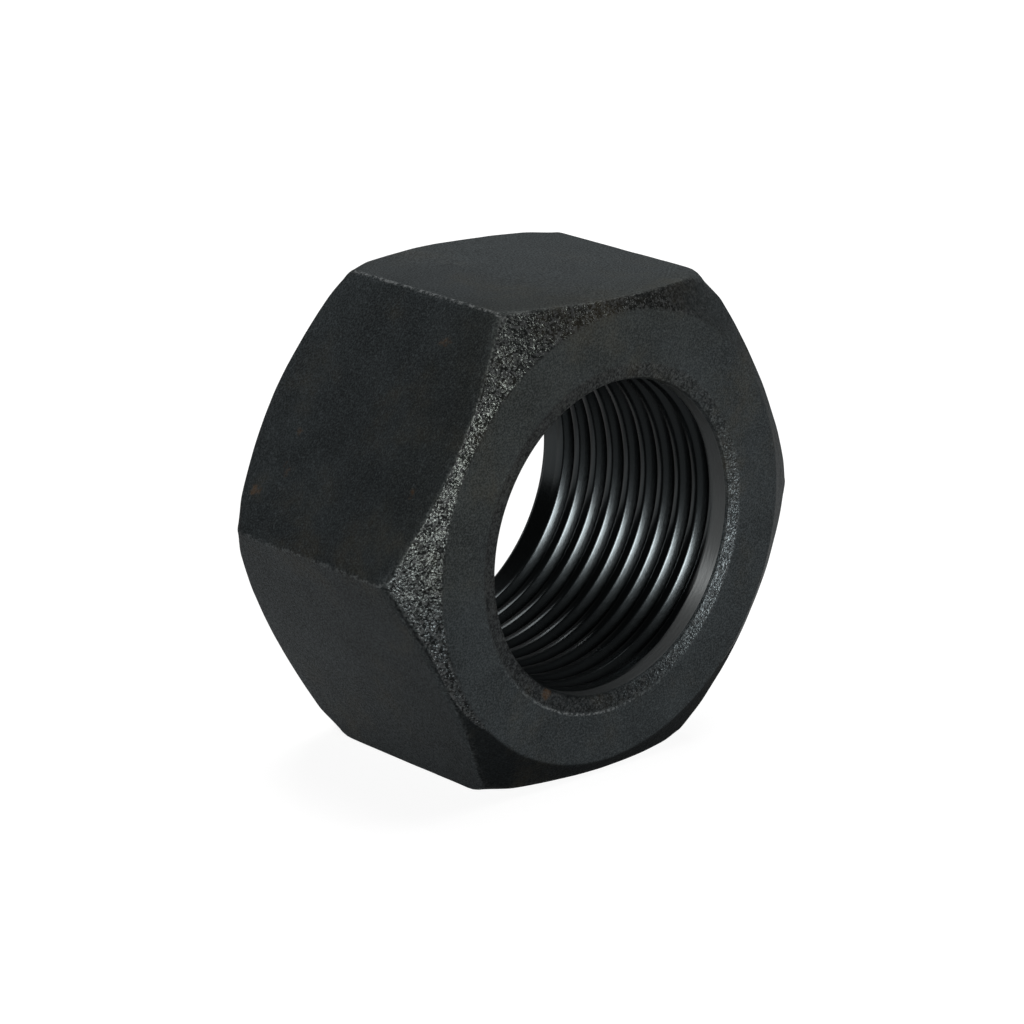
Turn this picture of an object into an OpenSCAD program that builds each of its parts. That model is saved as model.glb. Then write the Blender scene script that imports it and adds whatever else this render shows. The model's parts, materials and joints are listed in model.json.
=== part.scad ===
// Hexagon shaft nut of a disc harrow, in millimetres. One forged and tapped piece, standing on one of
// its flats. The origin is the middle of the threaded hole, whose axis lies along Y. The bearing end,
// which presses on the washer, faces -Y, and the top flat faces +Z.

/* [Wrench size] */
// Distance between two opposite flats
across_flats = 60; // [54:0.5:75]
// Height of the nut along the shaft
nut_height = 34; // [20:0.5:60]
// Radius of the six long edges between the flats
corner_r = 0.6; // [0.4:0.1:6]

/* [Bearing end] */
// Diameter of the flat ring that presses on the washer
bearing_d = 56.8; // [52:0.2:60]
// Slope of the chamfer against the bearing ring, in degrees
bearing_chamfer = 32; // [15:1:45]
// Radius of the soft edge round the bearing ring
bearing_edge_r = 1; // [0.2:0.1:3]
// Radius that blends the chamfer into the long edges
bearing_shoulder_r = 2; // [0.5:0.1:4]

/* [Back end] */
// Diameter of the flat ring on the back
back_d = 59; // [52:0.2:60]
// Slope of the chamfer against the back ring, in degrees
back_chamfer = 36; // [15:1:45]
// Radius of the soft edge round the back ring
back_edge_r = 1; // [0.2:0.1:3]
// Radius that blends the chamfer into the long edges
back_shoulder_r = 3.3; // [0.5:0.1:4]

/* [Threaded hole] */
// Nominal diameter of the thread
thread_d = 42; // [30:0.5:44]
// Pitch of the thread
thread_pitch = 3; // [1:0.25:4.5]
// How much wider the drilled hole is than the basic minor diameter
minor_allowance = 0.7; // [0:0.05:1.2]
// Outside diameter of the shallow recess round the hole, in both end faces
mouth_d = 44; // [42:0.2:50]
// Depth of the recess at its inner edge
mouth_depth = 0.25; // [0.1:0.05:1.5]
// Width of the small chamfer between recess and threaded wall, at the bearing end
rim_width = 0.2; // [0.05:0.05:0.5]
// Depth of that chamfer along the hole
rim_depth = 0.35; // [0.1:0.05:1.5]
// Width of the larger chamfer between recess and threaded wall, at the back end
back_rim_width = 0.7; // [0.1:0.05:1]
// Depth of that chamfer along the hole
back_rim_depth = 0.95; // [0.1:0.05:2]

/* [Hidden] */
$fn = 96;
// basic minor diameter of an internal thread of 60 degrees: nominal diameter less 10/8 of the thread's
// full triangle height
triangle_h = thread_pitch * cos(30);
bore_d = thread_d - 5 / 4 * triangle_h + minor_allowance;
// distance from the axis to the sharp corner of the hexagon, and to its rounded edge
corner_reach = across_flats / 2 / cos(30);
edge_reach = (across_flats / 2 - corner_r) / cos(30) + corner_r;
// how far outside the rounded edge the turned envelope would become parallel to the axis
shoulder_gap = 0.05;
outer_r = edge_reach + shoulder_gap;
// how far a cutter runs past the end faces
past = 1;
// how far a corner disc reaches past the flats
arc_lap = 0.05;

// Hexagon with round corners, flats at +Y and -Y: three bars across the flats and a disc in each corner,
// trimmed to the sharp hexagon. Each disc stands arc_lap further in than one that touches the flats, and
// is larger by as much, so its arc crosses the flats cleanly.
module rounded_hexagon() {
    corner_centre = (across_flats / 2 - corner_r) / cos(30) - arc_lap;
    flat_length = 2 * corner_centre * sin(30);
    intersection() {
        circle(corner_reach, $fn = 6);
        union() {
            for (turn = [0:60:120]) rotate(turn) square([flat_length, 2 * corner_reach], center = true);
            for (turn = [0:60:300]) rotate(turn) translate([corner_centre, 0]) circle(corner_r + arc_lap);
        }
    }
}

// Half section of a cone-ended turning: a flat ring of diameter face_d at height top, falling outwards at
// the given slope to the radius outer_r. A soft edge of radius edge_r lies between ring and slope, and a
// shoulder of radius shoulder_r between slope and cylinder. It reaches from height 0.
module end_section(top, face_d, slope, edge_r, shoulder_r) {
    // each arc touches its two sides at this distance from their meeting point
    edge_tangent = edge_r * tan(slope / 2);
    shoulder_tangent = shoulder_r * tan((90 - slope) / 2);
    face_r = face_d / 2;
    foot = top - (outer_r - face_r) * tan(slope);
    polygon([
        [0, 0], [outer_r, 0], [outer_r, foot - shoulder_tangent],
        [outer_r - shoulder_tangent * cos(slope), foot + shoulder_tangent * sin(slope)],
        [face_r + edge_tangent * cos(slope), top - edge_tangent * sin(slope)],
        [face_r - edge_tangent, top], [0, top]
    ]);
    translate([face_r - edge_tangent, top - edge_r]) circle(edge_r);
    translate([outer_r - shoulder_r, foot - shoulder_tangent]) circle(shoulder_r);
}

// The turned envelope that takes the corners off both ends of the hexagon
module end_chamfers() {
    end_z = nut_height / 2;
    rotate_extrude() end_section(end_z, bearing_d, bearing_chamfer, bearing_edge_r, bearing_shoulder_r);
    mirror([0, 0, 1])
        rotate_extrude() end_section(end_z, back_d, back_chamfer, back_edge_r, back_shoulder_r);
}

// Cutter for the upper end of the hole: a small chamfer of the given width and depth, which opens into a
// shallow dished recess. The recess keeps its slope where it runs past the end face.
module hole_mouth(width, depth) {
    rim_r = bore_d / 2 + width;
    end_z = nut_height / 2;
    wall_end = end_z - mouth_depth - depth;
    flare = past * (mouth_d / 2 - rim_r) / mouth_depth;
    rotate_extrude() polygon([
        [0, wall_end], [bore_d / 2, wall_end], [rim_r, end_z - mouth_depth],
        [mouth_d / 2 + flare, end_z + past], [0, end_z + past]
    ]);
}

// Hole through the nut at the thread's minor diameter
module tapped_hole() {
    cylinder(h = nut_height, d = bore_d, center = true);
    hole_mouth(rim_width, rim_depth);
    mirror([0, 0, 1]) hole_mouth(back_rim_width, back_rim_depth);
}

// The nut is drawn with its axis upright and its bearing end on top, then laid on one flat
module nut() {
    color([0.2, 0.22, 0.22])
    rotate([90, 0, 0])
    difference() {
        intersection() {
            linear_extrude(height = nut_height, center = true) rounded_hexagon();
            end_chamfers();
        }
        tapped_hole();
    }
}

nut();
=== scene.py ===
"""Hexagon shaft nut of a disc harrow: a forged, blackened body with a true helical thread, and a plain
studio round it. Lengths are in metres. The bore's axis is Y, the bearing end faces -Y, +Z is up."""

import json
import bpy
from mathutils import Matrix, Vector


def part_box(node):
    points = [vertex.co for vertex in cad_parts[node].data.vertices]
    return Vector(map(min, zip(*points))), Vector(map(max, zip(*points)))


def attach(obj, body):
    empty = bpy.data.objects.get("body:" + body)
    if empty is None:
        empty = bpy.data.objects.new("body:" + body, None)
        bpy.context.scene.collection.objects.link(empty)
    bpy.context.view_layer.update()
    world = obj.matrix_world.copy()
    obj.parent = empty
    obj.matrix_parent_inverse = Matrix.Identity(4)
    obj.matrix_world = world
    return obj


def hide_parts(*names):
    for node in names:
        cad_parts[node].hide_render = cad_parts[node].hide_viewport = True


bl_info = {
    "name": "Shaft nut",
    "version": (1, 0, 0),
    "blender": (4, 5, 0),
    "location": "3D View > Sidebar > Shaft nut",
    "description": "A forged hexagon nut with a true helical thread, and a plain studio for it",
    "category": "Add Mesh",
}

from math import cos, radians, sin, tan
from types import SimpleNamespace

import bpy
import numpy as np
from mathutils import Matrix, Vector

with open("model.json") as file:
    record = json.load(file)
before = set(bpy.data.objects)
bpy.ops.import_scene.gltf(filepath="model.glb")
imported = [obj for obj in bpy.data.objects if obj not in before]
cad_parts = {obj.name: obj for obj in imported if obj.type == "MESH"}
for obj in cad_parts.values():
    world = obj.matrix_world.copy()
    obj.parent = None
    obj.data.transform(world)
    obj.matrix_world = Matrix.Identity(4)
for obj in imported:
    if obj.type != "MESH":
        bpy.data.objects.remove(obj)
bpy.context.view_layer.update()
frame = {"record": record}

MM = 0.001
NUT_LOW, NUT_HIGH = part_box("nut")
THREAD_MOUNT = next(m for m in frame["record"]["mounts"] if m["name"] == "thread")

# Half the angle between the thread's flanks
FLANK = radians(30)

# Angles round the bore are measured from +Z towards +X
TURN = 2 * np.pi
SECTOR = TURN / 6
TOP_RIGHT_EDGE = SECTOR / 2
FOOT_EDGE = radians(210)
LOWER_LEFT_FLAT = radians(240)
TOP_LEFT_EDGE = radians(330)


def amount(name, description, default, **kind):
    """Property of a number, with its unit or subtype where one fits"""
    return bpy.props.FloatProperty(name=name, description=description, default=default, **kind)


def length(name, description, default):
    """Property of a length in metres"""
    return amount(name, description, default, unit="LENGTH")


def tone(name, description, default):
    """Property of a colour"""
    return bpy.props.FloatVectorProperty(
        name=name, description=description, default=default, subtype="COLOR", size=3)


class NutSizes(bpy.types.PropertyGroup):
    """Driving sizes of the nut"""
    across_flats: length("Across flats", "Distance between two opposite flats", NUT_HIGH.z - NUT_LOW.z)
    height: length("Height", "Height of the nut along the shaft", NUT_HIGH.y - NUT_LOW.y)
    corner_radius: length("Corner radius", "Radius of the six long edges", 0.6 * MM)
    bearing_radius: length(
        "Bearing ring radius", "Outer radius of the ring that presses on the washer", 28.4 * MM)
    bearing_slope: amount(
        "Bearing chamfer", "Slope of the front chamfer against the ring", radians(32), subtype="ANGLE")
    back_radius: length("Back ring radius", "Outer radius of the ring on the back", 29.5 * MM)
    back_slope: amount(
        "Back chamfer", "Slope of the back chamfer against the ring", radians(36), subtype="ANGLE")
    ring_edge: length("Ring edge", "Radius of the soft edge round both rings", 1 * MM)
    chamfer_edge: length("Chamfer edge", "Mean radius of the soft edge between chamfer and flat", 0.5 * MM)
    bearing_shoulder: length(
        "Bearing shoulder", "Radius that blends the front chamfer into the long edges", 2 * MM)
    back_shoulder: length(
        "Back shoulder", "Radius that blends the back chamfer into the long edges", 3.3 * MM)
    mouth_radius: length("Recess radius", "Outer radius of the shallow recess round the hole", 22 * MM)
    mouth_depth: length("Recess depth", "Depth of the recess at its inner edge", 0.25 * MM)
    rim_width: length("Rim width", "Width of the small chamfer inside the front recess", 0.2 * MM)
    rim_depth: length("Rim depth", "Depth of that chamfer along the hole", 0.35 * MM)
    back_rim_width: length("Back rim width", "Width of the larger chamfer inside the back recess", 0.7 * MM)
    back_rim_depth: length("Back rim depth", "Depth of that chamfer along the hole", 0.95 * MM)
    forging_sag: length(
        "Forging unevenness", "How far the forged skin wanders below its true surface", 0.07 * MM)
    lower_left_edge: length(
        "Lower left edge", "How much softer the chamfer's edge is on the lower left flat", 1.3 * MM)
    grain_relief: length("Grain relief", "Depth of the coarse lumps on the chamfers", 0.05 * MM)
    worn_corner: length("Worn corner", "How much larger a worn corner's shoulder is", 3 * MM)


class ThreadSizes(bpy.types.PropertyGroup):
    """Driving sizes of the thread"""
    minor_radius: length(
        "Minor radius", "Radius of the drilled hole, where the crests lie",
        THREAD_MOUNT["dims"]["r_mm"] * MM)
    root_radius: length("Root radius", "Radius of the rounded bottom of the groove", 21.1 * MM)
    pitch: length("Pitch", "Advance of the thread in one turn", 3 * MM)
    groove_width: length("Groove width", "Width of the groove at the minor radius", 1.85 * MM)
    start: length("Thread start", "Depth of the first groove below the bearing end, at the top", 0.7 * MM)
    crest_softness: length("Crest softness", "How softly the flanks turn into the lands", 0.22 * MM)
    root_softness: length("Root softness", "How softly the flanks turn into the root", 0.1 * MM)
    land_crown: length("Land crown", "How far a land's edges lie below its middle", 0.03 * MM)
    entry: length("Entry", "Plain length of the wall at each end, before the groove begins", 1.7 * MM)
    run_out: length("Run-out", "Length over which the groove then grows to its full depth", 1.6 * MM)


class Finish(bpy.types.PropertyGroup):
    """Colours and surface of the blackened steel"""
    oxide: tone("Oxide", "Black oxide skin", (0.0045, 0.0053, 0.0056))
    grain_oxide: tone(
        "Oxide on the grain", "Greyer oxide on the chamfers and in the recess", (0.0035, 0.0038, 0.0038))
    tint: tone("Tint", "Thin brownish bloom on the oxide", (0.022, 0.018, 0.011))
    # the steel colour also paints highlights, on the recess's lower edge and at the lower right of the
    # bore's entry
    steel: tone("Worn steel", "Steel where the skin has rubbed off", (0.13, 0.135, 0.135))
    rust: tone("Rust", "Light rust in the spots", (0.040, 0.022, 0.010))
    grain_size: length("Grain size", "Size of the coarse grain on the chamfers", 0.31 * MM)
    sheen: tone("Sheen", "Bluish colour of what the oxide mirrors", (0.84, 0.96, 1.0))
    olive_sheen: tone("Olive sheen", "Olive colour of what it mirrors in places", (0.92, 1.0, 0.92))


class Studio(bpy.types.PropertyGroup):
    """Lamp, room, floor and camera"""
    lens: amount("Lens", "Focal length on a sensor 36 mm wide", 134.383, unit="CAMERA")
    floor_white: amount("Floor", "How white the floor is", 0.8, subtype="FACTOR")
    shadow: amount(
        "Shadow", "Share of the lit floor in what the camera sees of it", 0.3, subtype="FACTOR")
    floor_front: amount("Floor in front", "Light of the floor in front, as the nut mirrors it", 0.1)
    floor_back: amount("Floor behind", "Light of the floor behind, as the nut mirrors it", 0.62)
    room: amount("Room", "Light of the plain walls", 0.07)
    softbox: amount("Softbox", "Power of the lamp overhead", 12.5)


# Soft-edged panels round the nut: azimuth from -Y towards +X and elevation of the middle, half width and
# half height, all in degrees, and strength, which is below zero where a wall is darker than the room
PANELS = {
    "softbox beside the camera": (-32, 12, 12, 11, 41.0),
    "panel behind, right": (136, 20, 26, 16, 0.05),
    "dark wall behind, left": (-139, 28, 44, 34, -0.06),
}

# Middle of the lamp overhead and the length of its sides
OVERHEAD_PLACE = (0.25, 0.2, 1.1)
OVERHEAD_SIDE = 0.9

# Middles of the rust spots seen in the photograph and how far they reach, in millimetres
RUST_SPOTS = (
    (-19.7, -6.8, 25.9, 2.6), (-29.0, -11.5, 9.8, 2.2), (-30.1, 8.8, 7.9, 2.6), (-31.9, 12.8, 4.8, 1.8),
    (-27.6, 9.7, 12.3, 1.6), (-10.6, -16.8, -17.4, 2.0), (24.0, -17.0, -12.0, 1.2))

# Sides of the nut: where the sheen turns olive, where the oxide is thin and mirrors more, and where the
# bore is duller. The dot product with a place says how far it lies to that side.
OLIVE_SIDE = (-10, -40, 14)
THIN_SIDE = (25, 16.7, 0)
DULL_SIDE = (-0.7, 0, -0.7)

# Noises of the oxide: features in a metre, detail and roughness
OXIDE_NOISES = {
    "Clouds": (120.0, 4.0, 0.65), "Speckle": (2300.0, 3.0, 0.65), "Bloom": (70.0, 5.0, 0.7),
    "Grit": (4600.0, 1.0, 0.5),
}

# Where the camera stands, and its right, up and backward directions
CAMERA_PLACE = (-0.31505, -0.32284, 0.14127)
CAMERA_RIGHT = (0.72413, -0.68879, 0.03469)
CAMERA_UP = (0.18330, 0.24070, 0.95313)
CAMERA_BACK = (-0.66486, -0.68383, 0.30055)


# Shapes

def unevenness(points, size, seed, waves=14):
    """Smooth noise from 0 to 1 at each point: the mean of plane waves in random directions, whose lengths
    lie round the given size, pushed towards its ends by a soft step."""
    draw = np.random.default_rng(seed)
    direction = draw.normal(size=(waves, 3))
    direction /= np.linalg.norm(direction, axis=1, keepdims=True)
    number = TURN / size * draw.uniform(0.7, 1.5, waves)
    phase = draw.uniform(0, TURN, waves)
    total = np.cos(points @ (direction * number[:, None]).T + phase).sum(-1) / np.sqrt(waves / 2)
    return 0.5 + 0.5 * np.tanh(total)


def round_wave(angle, counts, seed):
    """Smooth wave round the nut from -1 to 1: the sum of cosines with whole numbers of periods and random
    phases, divided by the number of cosines."""
    draw = np.random.default_rng(seed)
    phase = draw.uniform(0, TURN, len(counts))
    return np.cos(np.outer(angle, counts) + phase).mean(1)


def off_nearest_flat(angle):
    """Angle from the nearest flat's normal"""
    return np.abs((angle + SECTOR / 2) % SECTOR - SECTOR / 2)


def corner_circle(sizes):
    """Distance from the axis to the middle of a long edge's circle, and the angle from the flat's normal at
    which the flat runs into it"""
    centre = (sizes.across_flats / 2 - sizes.corner_radius) / cos(SECTOR / 2)
    return centre, np.arctan2(centre * sin(SECTOR / 2), sizes.across_flats / 2)


def hexagon_radius(angle, sizes):
    """Distance from the axis to the rounded hexagon: half the width across flats over the cosine of the
    angle from the nearest flat's normal, or the far crossing of the corner's circle."""
    centre, arc_start = corner_circle(sizes)
    off_normal = off_nearest_flat(angle)
    off_corner = SECTOR / 2 - off_normal
    across = np.sqrt(np.maximum(sizes.corner_radius ** 2 - (centre * np.sin(off_corner)) ** 2, 0))
    flat = sizes.across_flats / 2 / np.cos(off_normal)
    return np.where(off_normal <= arc_start, flat, centre * np.cos(off_corner) + across)


def column_angles(sizes):
    """Angles of the body's mesh columns in each sector: a few over the middle of the flat, where the
    chamfers are narrow, many over their wide parts, and the closest over the rounded edge."""
    arc_start = corner_circle(sizes)[1]
    middle = radians(9)
    ends = [-middle, middle, arc_start, SECTOR - arc_start, SECTOR - middle]
    sector = np.concatenate([
        np.linspace(low, high, count, endpoint=False)
        for low, high, count in zip(ends, ends[1:], [14, 42, 6, 42])])
    return (SECTOR * np.arange(6)[:, None] + sector).ravel()


def wall_ends(sizes):
    """Y of the two ends of the threaded wall"""
    half = sizes.height / 2
    return sizes.mouth_depth + sizes.rim_depth - half, half - sizes.mouth_depth - sizes.back_rim_depth


def rounded_section(corners, radii, arc_steps, run_steps):
    """Points along a polyline with round corners, for every column at once. corners is rows of (radius, y)
    for each column, radii the corner radii. An arc is the conic through its two tangent points, which lie
    radius times the tangent of half the turn from the corner; weighting the corner by the cosine of half
    the turn makes it a true circle. A run between two arcs is divided evenly."""
    step = np.diff(corners, axis=0)
    along = step / np.linalg.norm(step, axis=2, keepdims=True)
    rows = [corners[0]]
    end = corners[0]
    for k in range(1, len(corners) - 1):
        cosine = np.clip((along[k - 1] * along[k]).sum(-1), -1, 1)
        half_turn = np.arccos(cosine)[:, None] / 2
        reach = radii[k][:, None] * np.tan(half_turn)
        first, last = corners[k] - reach * along[k - 1], corners[k] + reach * along[k]
        for t in np.arange(1, run_steps[k - 1] + 1) / run_steps[k - 1]:
            rows.append(end + t * (first - end))
        for t in np.arange(1, arc_steps[k] + 1) / arc_steps[k]:
            a, b, c = (1 - t) ** 2, 2 * t * (1 - t) * np.cos(half_turn), t ** 2
            rows.append((a * first + b * corners[k] + c * last) / (a + b + c))
        end = last
    for t in np.arange(1, run_steps[-1] + 1) / run_steps[-1]:
        rows.append(end + t * (corners[-1] - end))
    return np.array(rows)


def lay_round(radius, y, angle):
    """Points at a radius and an angle round the Y axis, from +Z towards +X"""
    return np.stack([radius * np.sin(angle), y + 0 * angle, radius * np.cos(angle)], axis=-1)


def towards(angle, middle, sharpness):
    """From 1 at the middle angle to 0 a quarter turn away: a power of the cosine of the angle between"""
    return np.clip(np.cos(angle - middle), 0, 1) ** sharpness


def bell(value, middle, width):
    """From 1 at the middle down to 0: the exponential of minus the square of distance over width"""
    return np.exp(-(((value - middle) / width) ** 2))


def over_arc(angle, start, rise, end, fall):
    """1 over an arc and 0 outside it: soft steps up from the start and down to the end, all in degrees"""
    up = smooth_step((angle - radians(start)) / radians(rise))
    return up * smooth_step((radians(end) - angle) / radians(fall))


def body_surface(sizes, thread, angle):
    """Outside of the nut as a grid of rows and columns. Its section at each angle runs from the front end
    of the threaded wall over the recess, the ring, the chamfer, the flat and the same parts of the back, to
    the back end of the wall. The forged parts then sink by smooth noise, the chamfers by coarse lumps."""
    half = sizes.height / 2
    outline = hexagon_radius(angle, sizes)
    ring_wander, back_wander, least_chamfer = 0.12 * MM, 0.10 * MM, 0.05 * MM
    ring = sizes.bearing_radius + ring_wander * round_wave(angle, [3, 5, 8, 13, 21], seed=4)
    back_ring = sizes.back_radius + back_wander * round_wave(angle, [2, 5, 9, 14], seed=5)
    same = np.ones_like(angle)
    rim = thread.minor_radius + sizes.rim_width
    back_rim = thread.minor_radius + sizes.back_rim_width
    front_end, back_end = wall_ends(sizes)
    chamfer_y = (outline - ring) * tan(sizes.bearing_slope)
    back_y = np.maximum(outline - back_ring, least_chamfer) * tan(sizes.back_slope)

    def row(radius, y):
        return np.stack([radius * same, y * same], axis=-1)

    corners = np.array([
        row(thread.minor_radius, front_end), row(rim, sizes.mouth_depth - half),
        row(sizes.mouth_radius, -half), row(ring, -half), row(outline, chamfer_y - half),
        row(outline, half - back_y), row(back_ring, half), row(sizes.mouth_radius, half),
        row(back_rim, half - sizes.mouth_depth), row(thread.minor_radius, back_end),
    ])
    # the edge of the chamfer is nearly sharp in the middle of a flat and grows into a shoulder towards the
    # long edges; it is softer on the lower left flat, and two front corners and a back one are worn round
    at_edge = smooth_step((off_nearest_flat(angle) - radians(23)) / radians(7))
    at_foot = towards(angle, FOOT_EDGE, 60)
    worn = sizes.worn_corner * (towards(angle, TOP_RIGHT_EDGE, 60) + 0.8 * at_foot)
    soft = sizes.chamfer_edge * (1 + 0.3 * round_wave(angle, [2, 3, 7, 11], seed=6))
    front_soft = soft + sizes.lower_left_edge * towards(angle, LOWER_LEFT_FLAT, 6)
    front_soft = front_soft + at_edge * np.maximum(sizes.bearing_shoulder + worn - front_soft, 0)
    back_shoulder = sizes.back_shoulder + 0.6 * sizes.worn_corner * at_foot
    back_soft = soft + at_edge * np.maximum(back_shoulder - soft, 0)
    # no arc takes more than its share of the chamfer it ends
    share = 0.9
    front_run = (outline - ring) / cos(sizes.bearing_slope) - sizes.ring_edge * tan(sizes.bearing_slope / 2)
    back_run = back_y / sin(sizes.back_slope) - sizes.ring_edge * tan(sizes.back_slope / 2)
    front_soft = np.minimum(front_soft, share * front_run / np.tan((np.pi / 2 - sizes.bearing_slope) / 2))
    back_soft = np.minimum(back_soft, share * back_run / np.tan((np.pi / 2 - sizes.back_slope) / 2))
    small, lip = 0.06 * MM, 0.15 * MM
    radii = [None, small * same, lip * same, sizes.ring_edge * same, front_soft, back_soft,
             sizes.ring_edge * same, lip * same, small * same, None]
    section = rounded_section(
        corners, radii, arc_steps=[0, 2, 2, 4, 6, 6, 4, 2, 2, 0], run_steps=[1, 5, 3, 22, 14, 12, 3, 4, 1])
    radius, y = section[..., 0], section[..., 1]
    points = lay_round(radius, y, angle[None, :])
    # the sinking is full outside the rings and none on them, and always points inwards
    forged = smooth_step((radius - ring + 0.2 * MM) / (1.2 * MM))
    sag = 0.6 * unevenness(points, 16 * MM, seed=1) + 0.4 * unevenness(points, 5 * MM, seed=2)
    inward = sizes.forging_sag * forged * sag
    in_front = y < 0
    slope = np.where(in_front, sizes.bearing_slope, sizes.back_slope)
    flat_start = np.where(in_front, chamfer_y, back_y)
    cone = forged * smooth_step((flat_start - half + np.abs(y)) / (0.4 * MM))
    fine_lumps = unevenness(points, 1.1 * MM, seed=7, waves=40)
    broad_lumps = unevenness(points, 2.6 * MM, seed=8, waves=40)
    relief = sizes.grain_relief * cone * (0.6 * fine_lumps + 0.4 * broad_lumps)
    radius = radius - inward - relief * np.sin(slope)
    y = y - np.sign(y) * (0.3 * inward + relief * np.cos(slope))
    return lay_round(radius, y, angle[None, :])


def groove_phases(thread):
    """Where the rows of one pitch lie, measured from the middle of the groove: two at each corner of the
    root, one on each flank, three over each crest edge, and one on the land"""
    edge = thread.groove_width / 2
    least = 0.05 * MM
    corner = max(edge - (thread.root_radius - thread.minor_radius) * tan(FLANK), least)
    at_root = [corner - 0.03 * MM, corner + 0.07 * MM]
    at_crest = [edge - 0.12 * MM, edge, edge + 0.16 * MM]
    half = at_root + [0.55 * edge] + at_crest
    return np.array([-p for p in half[::-1]] + half + [thread.pitch / 2])


def groove_radius(phase, thread):
    """Radius of the thread at a distance from the middle of the groove: the flank's straight line, cut off
    by the minor radius and the root radius with soft corners, and a land that falls away from its middle
    as the square of the distance"""
    edge = thread.groove_width / 2
    phase = np.abs(phase)
    gap = (edge - phase) / tan(FLANK)
    raised = thread.minor_radius + 0.5 * (gap + np.sqrt(gap ** 2 + thread.crest_softness ** 2))
    over = thread.root_radius - raised
    blended = thread.root_radius - 0.5 * (over + np.sqrt(over ** 2 + thread.root_softness ** 2))
    land_half = (thread.pitch - thread.groove_width) / 2
    from_middle = np.clip((thread.pitch / 2 - phase) / land_half, 0, 1)
    land = thread.minor_radius + thread.land_crown * from_middle ** 2
    past_edge = 0.12 * MM
    return np.where(phase > edge + past_edge, land, np.maximum(blended, land))


def smooth_step(x):
    """Soft step from 0 to 1 while x goes from 0 to 1"""
    x = np.clip(x, 0, 1)
    return x * x * (3 - 2 * x)


def thread_surface(sizes, thread, angle):
    """Threaded wall as a grid whose rows follow the helix. A row stands at a fixed distance from the middle
    of the groove, so its depth grows by one pitch in a turn, and it stops at the ends of the wall. The
    radius is the groove's at that distance, fading to the minor radius at both ends."""
    phases = groove_phases(thread)
    front_end, back_end = wall_ends(sizes)
    turns = int(np.ceil((back_end - front_end) / thread.pitch)) + 3
    first = thread.start - thread.pitch * np.ceil(thread.start / thread.pitch + 1)
    row_phase = np.tile(phases, turns)
    row_depth = (first + thread.pitch * np.arange(turns)[:, None] + phases).ravel()
    depth = row_depth[:, None] + thread.pitch * angle[None, :] / TURN
    y = np.clip(depth - sizes.height / 2, front_end, back_end)
    from_end = np.minimum(y - front_end, back_end - y)
    strength = smooth_step((from_end - thread.entry) / thread.run_out)
    cut = groove_radius(row_phase, thread)[:, None] - thread.minor_radius
    return lay_round(thread.minor_radius + cut * strength, y, angle[None, :]), len(phases)


def grid_faces(rows, columns, offset, row_shift=0):
    """Corner numbers of a grid's quads. Columns close into a ring, and where they do, a row meets the one
    that lies row_shift further on."""
    row, column = np.meshgrid(np.arange(rows - 1), np.arange(columns), indexing="ij")
    following = (column + 1) % columns
    shifted = np.where(column + 1 == columns, row_shift, 0)
    quads = np.stack([
        row * columns + column, (row + 1) * columns + column,
        (row + 1 + shifted) * columns + following, (row + shifted) * columns + following], axis=-1)
    inside = row + 1 + shifted < rows
    return quads[inside].reshape(-1, 4) + offset


def weld(points, quads):
    """Merges points that coincide, splits quads into triangles and drops those that have collapsed"""
    weld_step = 1e-8
    _, kept, number = np.unique(
        np.round(points / weld_step).astype(np.int64), axis=0, return_index=True, return_inverse=True)
    number = number.ravel()
    faces = number[np.concatenate([quads[:, [0, 1, 2]], quads[:, [0, 2, 3]]])]
    a, b, c = faces.T
    whole = (a != b) & (b != c) & (c != a)
    return points[kept], faces[whole], whole


def add_object(name, data):
    """Object in the scene for a mesh, a lamp or a camera"""
    made = bpy.data.objects.new(name, data)
    bpy.context.scene.collection.objects.link(made)
    return made


def mesh_object(name, points, faces):
    """Object with a triangle mesh, smooth all over except at edges sharper than 40 degrees"""
    mesh = bpy.data.meshes.new(name)
    mesh.from_pydata(points.tolist(), [], faces.tolist())
    mesh.validate()
    mesh.polygons.foreach_set("use_smooth", np.ones(len(mesh.polygons), bool))
    mesh.set_sharp_from_angle(angle=radians(40))
    return add_object(name, mesh)


def point_value(mesh, name, values):
    """Stores one number per point, for the materials to read"""
    attribute = mesh.attributes.new(name, "FLOAT", "POINT")
    attribute.data.foreach_set("value", np.asarray(values, np.float32))


def build_nut(sizes, thread):
    """Closed mesh of the nut: the body's grid and the thread's grid, joined along the two ends of the wall.
    The body has more columns, and each of them ends at the nearest column of the thread."""
    angle = column_angles(sizes)
    wall_columns = 216
    wall_angle = TURN * np.arange(wall_columns) / wall_columns
    nearest = wall_angle[np.round(angle / TURN * wall_columns).astype(int) % wall_columns]
    body = body_surface(sizes, thread, angle)
    front_end, back_end = wall_ends(sizes)
    body[0] = lay_round(thread.minor_radius, front_end, nearest)
    body[-1] = lay_round(thread.minor_radius, back_end, nearest)
    wall, shift = thread_surface(sizes, thread, wall_angle)
    body_faces = grid_faces(len(body), len(angle), 0)
    wall_faces = grid_faces(len(wall), wall_columns, body.shape[0] * len(angle), shift)[:, ::-1]
    points = np.concatenate([body.reshape(-1, 3), wall.reshape(-1, 3)])
    quads = np.concatenate([body_faces, wall_faces])
    is_wall = np.arange(len(quads)) >= len(body_faces)
    points, faces, whole = weld(points, quads)
    is_wall = np.tile(is_wall, 2)[whole]
    corner = points[faces]
    volume = np.einsum("ij,ij->i", corner[:, 0], np.cross(corner[:, 1], corner[:, 2])).sum() / 6
    if volume < 0:
        faces = faces[:, ::-1]
    piece = mesh_object("threaded_nut", points, faces)
    piece.data.materials.append(None)
    piece.data.materials.append(None)
    piece.data.polygons.foreach_set("material_index", is_wall.astype(np.int32))
    mark_zones(piece.data, points, sizes, thread)
    return piece


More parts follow.
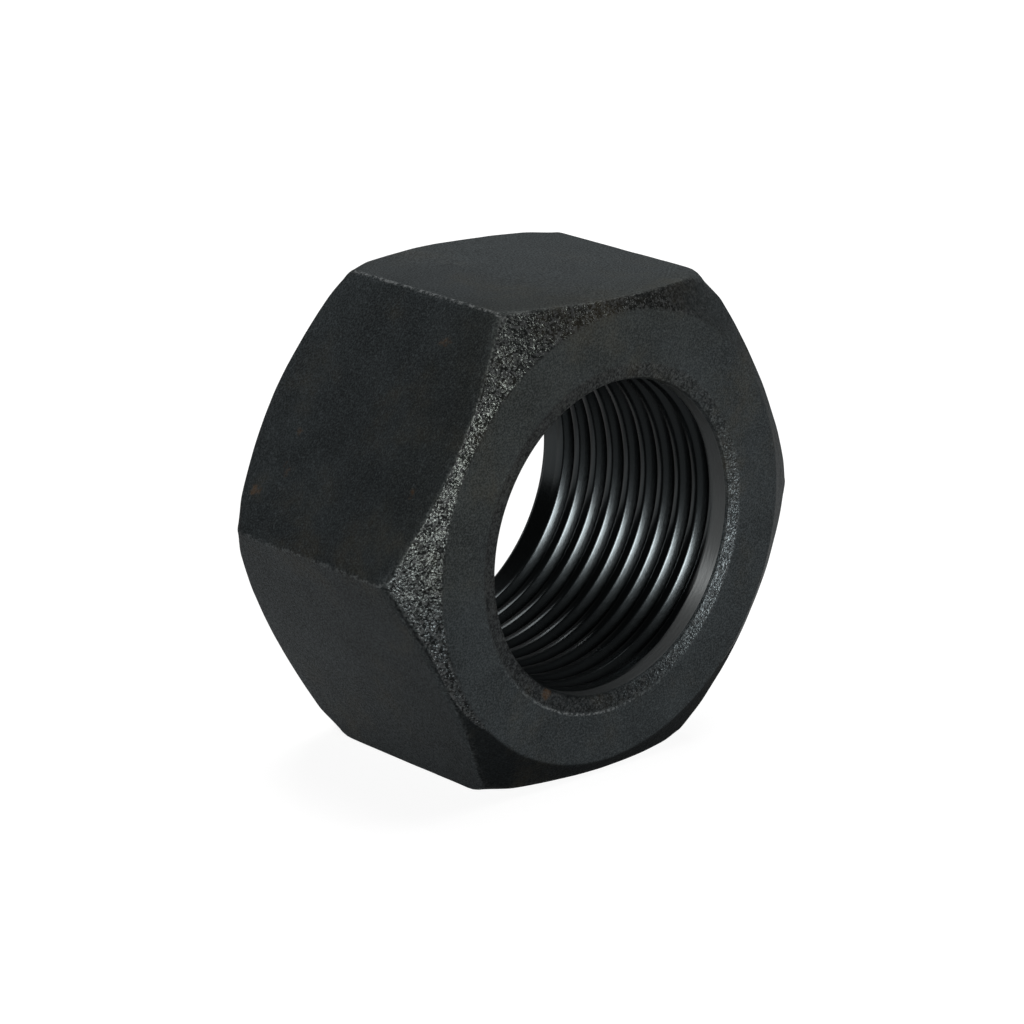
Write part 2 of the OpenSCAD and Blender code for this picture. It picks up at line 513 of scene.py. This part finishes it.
def mark_zones(mesh, points, sizes, thread):
    """Point values of the zones, from 0 to 1: grain on the chamfers, recess in the recesses, ring on the
    end faces, edge along rubbed edges, mouth where the recess's lower edge gets a painted highlight, and
    entry on the uncoated wall before the thread, strongest where it paints a highlight at the lower right.
    band says how far a point lies inside the front chamfer's smooth outer band, as a share of the chamfer."""
    x, y, z = points.T
    radius = np.hypot(x, z)
    angle = np.arctan2(x, z) % TURN
    in_front = y < 0
    from_end = sizes.height / 2 - np.abs(y)
    at_end = from_end < 0.4 * MM
    ring_radius = np.where(in_front, sizes.bearing_radius, sizes.back_radius)
    slope = np.where(in_front, sizes.bearing_slope, sizes.back_slope)
    flat_start = (hexagon_radius(angle, sizes) - ring_radius) * np.tan(slope)
    outside = smooth_step((radius - ring_radius + 0.3 * MM) / (0.5 * MM))
    on_chamfer = outside * (1 - smooth_step((from_end - flat_start + 0.1 * MM) / (0.35 * MM)))
    # the upper right of the front chamfer is nearly smooth
    on_chamfer = on_chamfer * (1 - 0.75 * over_arc(angle, 12, 22, 115, 20) * in_front)
    in_recess = 1 - smooth_step((radius - sizes.mouth_radius + 0.15 * MM) / (0.15 * MM))
    in_recess = in_recess * smooth_step((radius - thread.minor_radius - 0.1 * MM) / (0.1 * MM))
    in_recess = in_recess * (from_end < 1.2 * sizes.mouth_depth)
    # the borders of the flats are hardly rubbed, the long edges are, most of all the one at the top left
    border = 0.08 * bell(from_end, flat_start, 0.35 * MM) * outside
    rubbed = 0.3 + 0.7 * (np.abs(angle - TOP_LEFT_EDGE) < radians(10))
    at_edge = smooth_step((off_nearest_flat(angle) - radians(29.45)) / radians(0.35))
    long_edge = rubbed * at_edge * (from_end > flat_start)
    # the front chamfer was rolled smooth along its outer border, and all over at its lower end; the body
    # material darkens its colour there, a painted shade
    share_in = np.clip((flat_start - from_end) / np.maximum(flat_start, 0.1 * MM), 0, 1)
    at_left = bell(angle, radians(252), radians(17))
    band_width = 0.13 * at_left + 1.15 * over_arc(angle, 120, 20, 244, 26) - 0.05
    # the entry's inner border lies deeper at the upper right than at the bottom, and the entry's steel is
    # strongest at the lower right, a painted highlight
    front_end, back_end = wall_ends(sizes)
    border_depth = thread.entry + 0.2 * MM + 0.35 * MM * np.cos(angle - radians(60))
    at_mouth = 1 - smooth_step((y - front_end - border_depth) / (0.2 * MM))
    bare_steel_and_highlight = 0.4 + 0.6 * bell(angle, radians(122), radians(26))
    point_value(mesh, "grain", on_chamfer)
    point_value(mesh, "recess", in_recess)
    point_value(mesh, "ring", (1 - outside) * (1 - in_recess) * at_end)
    point_value(mesh, "edge", np.maximum(border, long_edge))
    point_value(mesh, "mouth", bell(angle, radians(195), radians(32)) * in_front * at_end)
    point_value(mesh, "band", np.where(in_front, share_in - band_width, 1.0))
    point_value(mesh, "entry", at_mouth * bare_steel_and_highlight * (radius < thread.minor_radius + 0.3 * MM))


# Shader node helpers

def node(tree, kind, **settings):
    """New shader node, with its settings given by name"""
    made = tree.nodes.new(kind)
    for key, value in settings.items():
        setattr(made, key, value)
    return made


def feed(tree, socket, value):
    """Links a socket to an output, or writes a plain value on it"""
    if isinstance(value, bpy.types.NodeSocket):
        tree.links.new(value, socket)
    else:
        socket.default_value = value


def math(tree, operation, a, b=0.0, c=0.0):
    """Output of a Math node"""
    made = node(tree, "ShaderNodeMath", operation=operation)
    for socket, value in zip(made.inputs, (a, b, c)):
        feed(tree, socket, value)
    return made.outputs[0]


def vector_math(tree, operation, *values):
    """Output of a Vector Math node: a number for products, distances and lengths, or else a vector"""
    made = node(tree, "ShaderNodeVectorMath", operation=operation)
    for socket, value in zip(made.inputs, values):
        feed(tree, socket, value)
    return made.outputs["Value" if operation in ("DOT_PRODUCT", "DISTANCE", "LENGTH") else "Vector"]


def ramp(tree, value, low, high, bottom=0.0, top=1.0):
    """Value that goes smoothly from bottom to top while the input goes from low to high"""
    made = node(tree, "ShaderNodeMapRange", interpolation_type="SMOOTHSTEP")
    for socket, number in zip(made.inputs, (value, low, high, bottom, top)):
        feed(tree, socket, number)
    return made.outputs[0]


def mix_number(tree, factor, a, b):
    """Number between a and b"""
    made = node(tree, "ShaderNodeMix", data_type="FLOAT")
    for place, value in ((0, factor), (2, a), (3, b)):
        feed(tree, made.inputs[place], value)
    return made.outputs[0]


def mix_colour(tree, factor, a, b):
    """Colour between a and b, each an output or three numbers"""
    made = node(tree, "ShaderNodeMix", data_type="RGBA")
    feed(tree, made.inputs["Factor"], factor)
    for place, colour in ((6, a), (7, b)):
        linked = isinstance(colour, bpy.types.NodeSocket)
        feed(tree, made.inputs[place], colour if linked else (*colour, 1.0))
    return made.outputs[2]


def scaled(colour, factor):
    """The colour made lighter or darker"""
    return tuple(factor * part for part in colour)


def object_place(tree):
    """Place on the object, in metres from its origin"""
    return node(tree, "ShaderNodeTexCoord").outputs["Object"]


def noise(tree, place, per_metre, detail=2.0, roughness=0.5):
    """Fractal noise from 0 to 1, with the given number of features in a metre"""
    made = node(tree, "ShaderNodeTexNoise")
    feed(tree, made.inputs["Vector"], place)
    feed(tree, made.inputs["Scale"], per_metre)
    made.inputs["Detail"].default_value = detail
    made.inputs["Roughness"].default_value = roughness
    return made.outputs[0]


def point_attribute(tree, name):
    """A point value of the mesh"""
    return node(tree, "ShaderNodeAttribute", attribute_name=name).outputs["Fac"]


def new_group(name, inputs, outputs):
    """Empty node group with number inputs, given as name and default, and outputs, as name and kind"""
    group = bpy.data.node_groups.new(name, "ShaderNodeTree")
    for label, default in inputs:
        socket = group.interface.new_socket(name=label, in_out="INPUT", socket_type="NodeSocketFloat")
        socket.default_value = default
    for label, kind in outputs:
        group.interface.new_socket(name=label, in_out="OUTPUT", socket_type=kind)
    return group, node(group, "NodeGroupInput"), node(group, "NodeGroupOutput")


def use_group(tree, group, **values):
    """Places a node group in a material, with values for its inputs"""
    made = node(tree, "ShaderNodeGroup", node_tree=group)
    for key, value in values.items():
        feed(tree, made.inputs[key], value)
    return made


# Node groups placed in the materials

def oxide_mottle_group():
    """Uneven black oxide: clouds, fine speckle, a broad bloom and the finest grit, all from 0 to 1"""
    group, _, result = new_group("oxide mottle", [], [(kind, "NodeSocketFloat") for kind in OXIDE_NOISES])
    place = object_place(group)
    for kind, numbers in OXIDE_NOISES.items():
        feed(group, result.inputs[kind], noise(group, place, *numbers))
    return group


def rust_group():
    """Small rust spots from 0 to 1: the highest peaks of fine noise, kept to the places where broad noise
    is high and to the surroundings of the spots in the photograph"""
    group, given, result = new_group("rust spots", [("Level", 0.9)], [("Mask", "NodeSocketFloat")])
    place = object_place(group)
    peaks = noise(group, place, 700.0, detail=4.0, roughness=0.65)
    level = math(group, "MULTIPLY_ADD", noise(group, place, 55.0, detail=1.0), 0.3, peaks)
    for *middle, reach in RUST_SPOTS:
        apart = vector_math(group, "DISTANCE", place, scaled(middle, MM))
        level = math(group, "ADD", level, ramp(group, apart, 0.0, reach * MM, 0.32, 0.0))
    above = math(group, "SUBTRACT", level, given.outputs["Level"])
    feed(group, result.inputs["Mask"], ramp(group, above, -0.02, 0.2))
    return group


# Materials

def surface_material(name):
    """New material, its nodes and its Principled shader"""
    made = bpy.data.materials.new(name)
    made.use_nodes = True
    return made, made.node_tree, made.node_tree.nodes["Principled BSDF"]


def forged_grain(tree, per_metre):
    """Coarse grain of scaled metal: a height, made of round cells and fine noise, a sideways tilt that is
    the same over each cell and random from cell to cell, and a mask that picks single cells"""
    place = object_place(tree)
    cells = node(tree, "ShaderNodeTexVoronoi", feature="SMOOTH_F1")
    feed(tree, cells.inputs["Vector"], place)
    cells.inputs["Scale"].default_value = per_metre
    cells.inputs["Smoothness"].default_value = 0.4
    fine = noise(tree, place, 1.6 * per_metre, detail=3.0, roughness=0.6)
    height = math(tree, "MULTIPLY_ADD", cells.outputs["Distance"], -0.8, fine)
    height = math(tree, "MULTIPLY_ADD", noise(tree, place, 0.33 * per_metre), 0.8, height)
    facets = node(tree, "ShaderNodeTexVoronoi")
    feed(tree, facets.inputs["Vector"], place)
    facets.inputs["Scale"].default_value = 1.1 * per_metre
    parts = node(tree, "ShaderNodeSeparateColor")
    feed(tree, parts.inputs[0], facets.outputs["Color"])
    tilt = vector_math(tree, "SUBTRACT", facets.outputs["Color"], (0.5, 0.5, 0.5))
    return SimpleNamespace(height=height, tilt=tilt, pick=parts.outputs[0])


def body_zones(tree, grain, mottle, rust, mouth_radius):
    """Masks of the forged body: coarse, smooth along the chamfer's border and darkened there as painted
    shade, pressed into a recess, rubbed along edges and with a painted highlight on the recess's edge,
    glinting, rusty
    """
    zones = SimpleNamespace(
        ring=point_attribute(tree, "ring"), pressed=point_attribute(tree, "recess"),
        grain=grain, mottle=mottle, rust=rust.outputs["Mask"])
    zones.recess = math(tree, "MULTIPLY", zones.pressed, 0.7)
    # medium noise breaks up the border of the chamfer's smooth band
    on_chamfer, band = point_attribute(tree, "grain"), point_attribute(tree, "band")
    ragged = math(tree, "MULTIPLY_ADD", noise(tree, object_place(tree), 900.0), 0.16, band)
    grainy = ramp(tree, ragged, 0.08, 0.24)
    zones.coarse = math(tree, "MAXIMUM", math(tree, "MULTIPLY", on_chamfer, grainy), zones.recess)
    # the smooth band gets a darker colour, a painted shade
    zones.rolled = math(tree, "MULTIPLY", on_chamfer, math(tree, "SUBTRACT", 1.0, grainy))
    zones.glint = math(tree, "MULTIPLY", zones.coarse, ramp(tree, grain.pick, 0.55, 1.0))
    # a thin light line on the recess's outer edge, at the bottom, is a painted highlight of its lip
    radius = vector_math(tree, "LENGTH", vector_math(tree, "MULTIPLY", object_place(tree), (1, 0, 1)))
    from_edge = math(tree, "ABSOLUTE", math(tree, "SUBTRACT", radius, mouth_radius))
    line = ramp(tree, from_edge, 0.05 * MM, 0.25 * MM, 0.8, 0.0)
    line = math(tree, "MULTIPLY", line, point_attribute(tree, "mouth"))
    edge = math(tree, "MAXIMUM", point_attribute(tree, "edge"), line)
    zones.wear = math(tree, "MULTIPLY", edge, ramp(tree, mottle.outputs["Speckle"], 0.42, 0.62))
    return zones


def body_colour(tree, look, zones):
    """Colour of the forged body, from the oxide's clouds up to the rust that lies over everything"""
    mottle = zones.mottle
    clouds = ramp(tree, mottle.outputs["Clouds"], 0.3, 0.75)
    flecks = ramp(tree, mottle.outputs["Speckle"], 0.52, 0.75, 0.0, 0.6)
    bloom = ramp(tree, mottle.outputs["Bloom"], 0.5, 0.75, 0.0, 0.4)
    colour = look.oxide
    # the darker oxide laid over the smooth band is a painted shade
    for cover, strength, laid in (
            (clouds, 1.0, scaled(look.oxide, 2.0)), (flecks, 1.0, scaled(look.oxide, 5.0)),
            (zones.coarse, 1.0, look.grain_oxide), (zones.rolled, 0.8, scaled(look.oxide, 0.3)),
            # the steel of the wear mask also paints a highlight on the recess's lower edge
            (bloom, 1.0, look.tint), (zones.wear, 0.6, look.steel), (zones.glint, 0.22, look.steel),
            (zones.rust, 0.6, look.rust)):
        if strength < 1:
            cover = math(tree, "MULTIPLY", cover, strength)
        colour = mix_colour(tree, cover, colour, laid)
    return colour


def body_sheen(tree, look):
    """What the oxide mirrors: bluish, and olive where the bloom lies at the upper left. Its noise is the
    mottle's, but stands outside the group, which feeds none of the specular sockets."""
    side = vector_math(tree, "DOT_PRODUCT", object_place(tree), OLIVE_SIDE)
    bloom = noise(tree, object_place(tree), *OXIDE_NOISES["Bloom"])
    olive = math(tree, "MULTIPLY_ADD", bloom, 1.4, side)
    return mix_colour(tree, ramp(tree, olive, 1.25, 1.85), look.sheen, look.olive_sheen)


def body_mirror(tree, zones):
    """How strongly the body mirrors: unevenly on the flats, weakly in the rolled band, and on the grain's
    peaks far more than in its pits. The mottle's grit is repeated here for the same reason."""
    even = ramp(tree, noise(tree, object_place(tree), *OXIDE_NOISES["Grit"]), 0.3, 0.7, 0.17, 0.62)
    even = math(tree, "MULTIPLY", even, math(tree, "MULTIPLY_ADD", zones.ring, 0.2, 0.82))
    even = math(tree, "MULTIPLY", even, ramp(tree, zones.rolled, 0.0, 1.0, 1.0, 0.26))
    # outside the rings the oxide is thicker, and mirrors less, towards the left and the bearing end
    side = vector_math(tree, "DOT_PRODUCT", object_place(tree), THIN_SIDE)
    gain = ramp(tree, side, -1.05, 0.35, -0.4, 0.35)
    off_ring = math(tree, "SUBTRACT", 1.0, zones.ring)
    even = math(tree, "MULTIPLY", even, math(tree, "MULTIPLY_ADD", gain, off_ring, 1.0))
    peaks = ramp(tree, zones.grain.height, 0.3, 0.85, 0.02, 0.9)
    brighter = math(tree, "MULTIPLY_ADD", zones.recess, 0.6, 1.0)
    return math(tree, "MULTIPLY", mix_number(tree, zones.coarse, even, peaks), brighter)


def body_normal(tree, zones):
    """Bump of grain and pores over a normal that leans to a side cell by cell, which makes single grains
    glint, and inwards in the recess, which was pressed from the middle"""
    mottle, grain = zones.mottle, zones.grain
    lean = vector_math(tree, "MULTIPLY", grain.tilt, math(tree, "MULTIPLY", zones.coarse, 0.29))
    leaning = vector_math(tree, "ADD", node(tree, "ShaderNodeNewGeometry").outputs["Normal"], lean)
    recess_middle = 21 * MM
    to_middle = (-1 / recess_middle, 0, -1 / recess_middle)
    inwards = vector_math(tree, "MULTIPLY", object_place(tree), to_middle)
    sideways = math(tree, "MULTIPLY", zones.pressed, 0.42)
    leaning = vector_math(tree, "NORMALIZE", vector_math(tree, "MULTIPLY_ADD", inwards, sideways, leaning))
    relief = math(tree, "MULTIPLY", grain.height, zones.coarse)
    specks = math(tree, "MULTIPLY", mottle.outputs["Speckle"], 0.8)
    pores = math(tree, "MULTIPLY_ADD", mottle.outputs["Grit"], 0.6, specks)
    bump = node(tree, "ShaderNodeBump")
    bump.inputs["Distance"].default_value = 0.07 * MM
    feed(tree, bump.inputs["Height"], math(tree, "ADD", relief, pores))
    feed(tree, bump.inputs["Normal"], leaning)
    return bump.outputs[0]


def body_material(look, mouth_radius, mottle, rust):
    """Black oxide on the forged body: smooth on the rings, fine-pored on the flats, coarse and glinting on
    the chamfers and in the recesses, worn bright in places along its edges, with a few rust spots. Its
    colour also paints shade on the front chamfer's smooth band and a highlight on the recess's lower edge."""
    made, tree, shader = surface_material("black oxide forging")
    zones = body_zones(
        tree, forged_grain(tree, 1 / look.grain_size), use_group(tree, mottle),
        use_group(tree, rust, Level=0.9), mouth_radius)
    feed(tree, shader.inputs["Base Color"], body_colour(tree, look, zones))
    roughness = math(tree, "MULTIPLY_ADD", zones.mottle.outputs["Speckle"], 0.12, 0.60)
    for zone, change in ((zones.ring, -0.06), (zones.coarse, -0.40), (zones.rust, 0.2)):
        roughness = math(tree, "MULTIPLY_ADD", zone, change, roughness)
    feed(tree, shader.inputs["Roughness"], roughness)
    bare_steel_and_highlight = math(tree, "MAXIMUM", zones.glint, zones.wear)
    feed(tree, shader.inputs["Metallic"], math(tree, "MULTIPLY", bare_steel_and_highlight, 0.35))
    shader.inputs["IOR"].default_value = 1.5
    # the plain values stand for the linked ones wherever a material is read without its links
    shader.inputs["Specular Tint"].default_value = (*look.sheen, 1.0)
    feed(tree, shader.inputs["Specular Tint"], body_sheen(tree, look))
    shader.inputs["Specular IOR Level"].default_value = 0.33
    feed(tree, shader.inputs["Specular IOR Level"], body_mirror(tree, zones))
    feed(tree, shader.inputs["Normal"], body_normal(tree, zones))
    return made


def thread_material(look, mottle):
    """Cut thread: smooth, shiny black oxide, and uncoated, duller steel at the entry, lightest at its lower
    right as a painted highlight
    """
    made, tree, shader = surface_material("blackened cut thread")
    entry = point_attribute(tree, "entry")
    speckle = use_group(tree, mottle).outputs["Speckle"]
    bare_steel_and_highlight = math(tree, "MULTIPLY", entry, 0.8)
    # the steel colour is strongest at the entry's lower right, a painted highlight
    feed(tree, shader.inputs["Base Color"], mix_colour(tree, bare_steel_and_highlight, scaled(look.oxide, 0.25), look.steel))
    feed(tree, shader.inputs["Metallic"], bare_steel_and_highlight)
    # turning marks round the entry stretch its highlights along the hole
    feed(tree, shader.inputs["Anisotropic"], math(tree, "MULTIPLY", entry, 0.95))
    quarter_turn = 0.25
    shader.inputs["Anisotropic Rotation"].default_value = quarter_turn
    around = node(tree, "ShaderNodeTangent", direction_type="RADIAL", axis="Y")
    feed(tree, shader.inputs["Tangent"], around.outputs[0])
    # the skin is duller at the lower left of the bore
    side = vector_math(tree, "DOT_PRODUCT", object_place(tree), DULL_SIDE)
    dull = ramp(tree, side, 4 * MM, 18 * MM, 0.17, 0.42)
    uneven = math(tree, "MULTIPLY_ADD", speckle, 0.12, dull)
    feed(tree, shader.inputs["Roughness"], math(tree, "MULTIPLY_ADD", entry, 0.32, uneven))
    shader.inputs["IOR"].default_value = 1.46
    shader.inputs["Specular Tint"].default_value = (*look.sheen, 1.0)
    # marks of the cutter run round the entry, so their noise is drawn out across the bore's axis
    stretch = node(tree, "ShaderNodeMapping", vector_type="POINT")
    feed(tree, stretch.inputs["Vector"], object_place(tree))
    stretch.inputs["Scale"].default_value = (0.12, 1.0, 0.12)
    marks = noise(tree, stretch.outputs[0], 2600.0)
    bump = node(tree, "ShaderNodeBump")
    bump.inputs["Distance"].default_value = 0.006 * MM
    height = math(tree, "MULTIPLY_ADD", math(tree, "MULTIPLY", entry, 14.0), marks, speckle)
    feed(tree, bump.inputs["Height"], height)
    feed(tree, shader.inputs["Normal"], bump.outputs[0])
    return made


# Studio

def seen_directly(tree):
    """1 for what the camera sees itself, and 0 for what lights the nut or is mirrored in it"""
    path = node(tree, "ShaderNodeLightPath")
    return math(tree, "MAXIMUM", path.outputs["Is Camera Ray"], path.outputs["Is Transmission Ray"])


def floor_object(studio):
    """Wide square floor on which the nut stands, in the plane of its lowest point. It is a lit white
    surface; the camera sees it lifted by a glow to pure white, so that only the nut's shadow shows, and
    the nut mirrors a dimmer glow."""
    half, z = 4.0, NUT_LOW.z
    white_glow = 1.22
    points = np.array([(-half, -half, z), (half, -half, z), (half, half, z), (-half, half, z)])
    floor = mesh_object("floor", points, np.array([[0, 1, 2, 3]]))
    made, tree, _ = surface_material("white floor")
    tree.nodes.clear()
    output = node(tree, "ShaderNodeOutputMaterial")
    diffuse = node(tree, "ShaderNodeBsdfDiffuse")
    diffuse.inputs["Color"].default_value = (studio.floor_white,) * 3 + (1.0,)
    glow = node(tree, "ShaderNodeEmission")
    mirrored = node(tree, "ShaderNodeLightPath").outputs["Is Glossy Ray"]
    share = math(tree, "MULTIPLY", seen_directly(tree), 1 - studio.shadow)
    blend = node(tree, "ShaderNodeMixShader")
    feed(tree, blend.inputs[0], math(tree, "MULTIPLY_ADD", mirrored, 0.8, share))
    # the nut mirrors a floor that is dim in front of it, lighter behind, at the left above all, and a
    # little lighter at the right
    place = node(tree, "ShaderNodeSeparateXYZ")
    feed(tree, place.inputs[0], object_place(tree))
    x, y = place.outputs["X"], place.outputs["Y"]
    at_left = ramp(tree, x, -14 * MM, -26 * MM)
    behind_left = math(tree, "MULTIPLY", at_left, ramp(tree, y, -45 * MM, -5 * MM, 0.0, 0.92))
    behind = math(tree, "MULTIPLY_ADD", ramp(tree, y, -20 * MM, 25 * MM), 0.08, behind_left)
    span, start = studio.floor_back - studio.floor_front, studio.floor_front - white_glow
    dimmer = math(tree, "MULTIPLY_ADD", behind, span, start)
    dimmer = math(tree, "ADD", dimmer, ramp(tree, x, 30 * MM, 120 * MM, 0.0, 0.22))
    feed(tree, glow.inputs["Strength"], math(tree, "MULTIPLY_ADD", mirrored, dimmer, white_glow))
    feed(tree, blend.inputs[1], diffuse.outputs[0])
    feed(tree, blend.inputs[2], glow.outputs[0])
    feed(tree, output.inputs["Surface"], blend.outputs[0])
    floor.data.materials.append(made)
    return floor


def panel_light(tree, direction, azimuth, elevation, half_width, half_height):
    """Soft-edged rectangle in the sky, from 0 to 1. Its sideways and upward distances are dot products with
    the right and up directions of its middle, and it is cut off on the far side of the sky."""
    a, e = radians(azimuth), radians(elevation)
    middle = (sin(a) * cos(e), -cos(a) * cos(e), sin(e))
    right = (cos(a), sin(a), 0)
    up = (-sin(a) * sin(e), cos(a) * sin(e), cos(e))
    value = 1.0
    for axis, half in ((right, half_width), (up, half_height)):
        away = math(tree, "ABSOLUTE", vector_math(tree, "DOT_PRODUCT", direction, axis))
        full, none = sin(radians(0.6 * half)), sin(radians(min(1.4 * half, 90)))
        value = math(tree, "MULTIPLY", value, ramp(tree, away, full, none, 1.0, 0.0))
    ahead = vector_math(tree, "DOT_PRODUCT", direction, middle)
    return math(tree, "MULTIPLY", value, ramp(tree, ahead, 0.0, 0.2))


def studio_world(studio):
    """White where the camera looks, and for the nut and the floor an even grey room with its panels"""
    world = bpy.data.worlds.new("studio")
    world.use_nodes = True
    bpy.context.scene.world = world
    tree = world.node_tree
    tree.nodes.clear()
    output = node(tree, "ShaderNodeOutputWorld")
    background = node(tree, "ShaderNodeBackground")
    direction = node(tree, "ShaderNodeTexCoord").outputs["Generated"]
    light = studio.room
    for *shape, strength in PANELS.values():
        light = math(tree, "MULTIPLY_ADD", panel_light(tree, direction, *shape), strength, light)
    feed(tree, background.inputs["Strength"], mix_number(tree, seen_directly(tree), light, 1.0))
    feed(tree, output.inputs["Surface"], background.outputs[0])


def overhead_lamp(power):
    """Square softbox above the nut, facing it"""
    lamp = bpy.data.lights.new("softbox overhead", "AREA")
    lamp.shape = "SQUARE"
    lamp.size, lamp.energy = OVERHEAD_SIDE, power
    turned = Vector(OVERHEAD_PLACE).to_track_quat("Z", "Y").to_matrix().to_4x4()
    add_object(lamp.name, lamp).matrix_world = Matrix.Translation(OVERHEAD_PLACE) @ turned


def studio_camera(studio):
    """Camera at the photograph's viewing angle"""
    camera = bpy.data.cameras.new("camera")
    camera.lens = studio.lens
    camera.sensor_width = 36
    camera.clip_start, camera.clip_end = 0.01, 20
    holder = add_object("camera", camera)
    axes = Matrix((CAMERA_RIGHT, CAMERA_UP, CAMERA_BACK)).transposed().to_4x4()
    holder.matrix_world = Matrix.Translation(CAMERA_PLACE) @ axes
    bpy.context.scene.camera = holder


class NUT_OT_add_nut(bpy.types.Operator):
    """Adds the threaded nut and its two materials"""
    bl_idname = "shaft_nut.add_nut"
    bl_label = "Add the nut"

    def execute(self, context):
        scene = context.scene
        look = scene.nut_finish
        piece = build_nut(scene.nut_sizes, scene.nut_thread)
        mottle = oxide_mottle_group()
        piece.data.materials[0] = body_material(look, scene.nut_sizes.mouth_radius, mottle, rust_group())
        piece.data.materials[1] = thread_material(look, mottle)
        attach(piece, "root")
        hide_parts("nut")
        return {"FINISHED"}


class NUT_OT_add_stage(bpy.types.Operator):
    """Adds the floor, the room with its panels, the lamp and the camera"""
    bl_idname = "shaft_nut.add_stage"
    bl_label = "Add the studio"

    def execute(self, context):
        scene = context.scene
        scene.view_settings.view_transform = "Standard"
        floor_object(scene.nut_studio)
        studio_world(scene.nut_studio)
        overhead_lamp(scene.nut_studio.softbox)
        studio_camera(scene.nut_studio)
        return {"FINISHED"}


class NUT_PT_panel(bpy.types.Panel):
    """Lists the nut's operators and sizes"""
    bl_idname = "NUT_PT_panel"
    bl_label = "Shaft nut"
    bl_space_type = "VIEW_3D"
    bl_region_type = "UI"
    bl_category = "Shaft nut"

    def draw(self, context):
        layout = self.layout
        for operator in OPERATORS:
            layout.operator(operator.bl_idname)
        for name, kind in GROUPS.items():
            box = layout.box()
            for key in kind.__annotations__:
                box.prop(getattr(context.scene, name), key)


GROUPS = {"nut_sizes": NutSizes, "nut_thread": ThreadSizes, "nut_finish": Finish, "nut_studio": Studio}
OPERATORS = (NUT_OT_add_nut, NUT_OT_add_stage)


def register():
    for kind in (*GROUPS.values(), *OPERATORS, NUT_PT_panel):
        bpy.utils.register_class(kind)
    for name, kind in GROUPS.items():
        setattr(bpy.types.Scene, name, bpy.props.PointerProperty(type=kind))


def unregister():
    for name in GROUPS:
        delattr(bpy.types.Scene, name)
    for kind in reversed((*GROUPS.values(), *OPERATORS, NUT_PT_panel)):
        bpy.utils.unregister_class(kind)


def main():
    """Registers the classes and makes the nut and the studio"""
    register()
    bpy.ops.shaft_nut.add_nut()
    bpy.ops.shaft_nut.add_stage()
    bpy.context.view_layer.update()


if __name__ == "__main__":
    main()
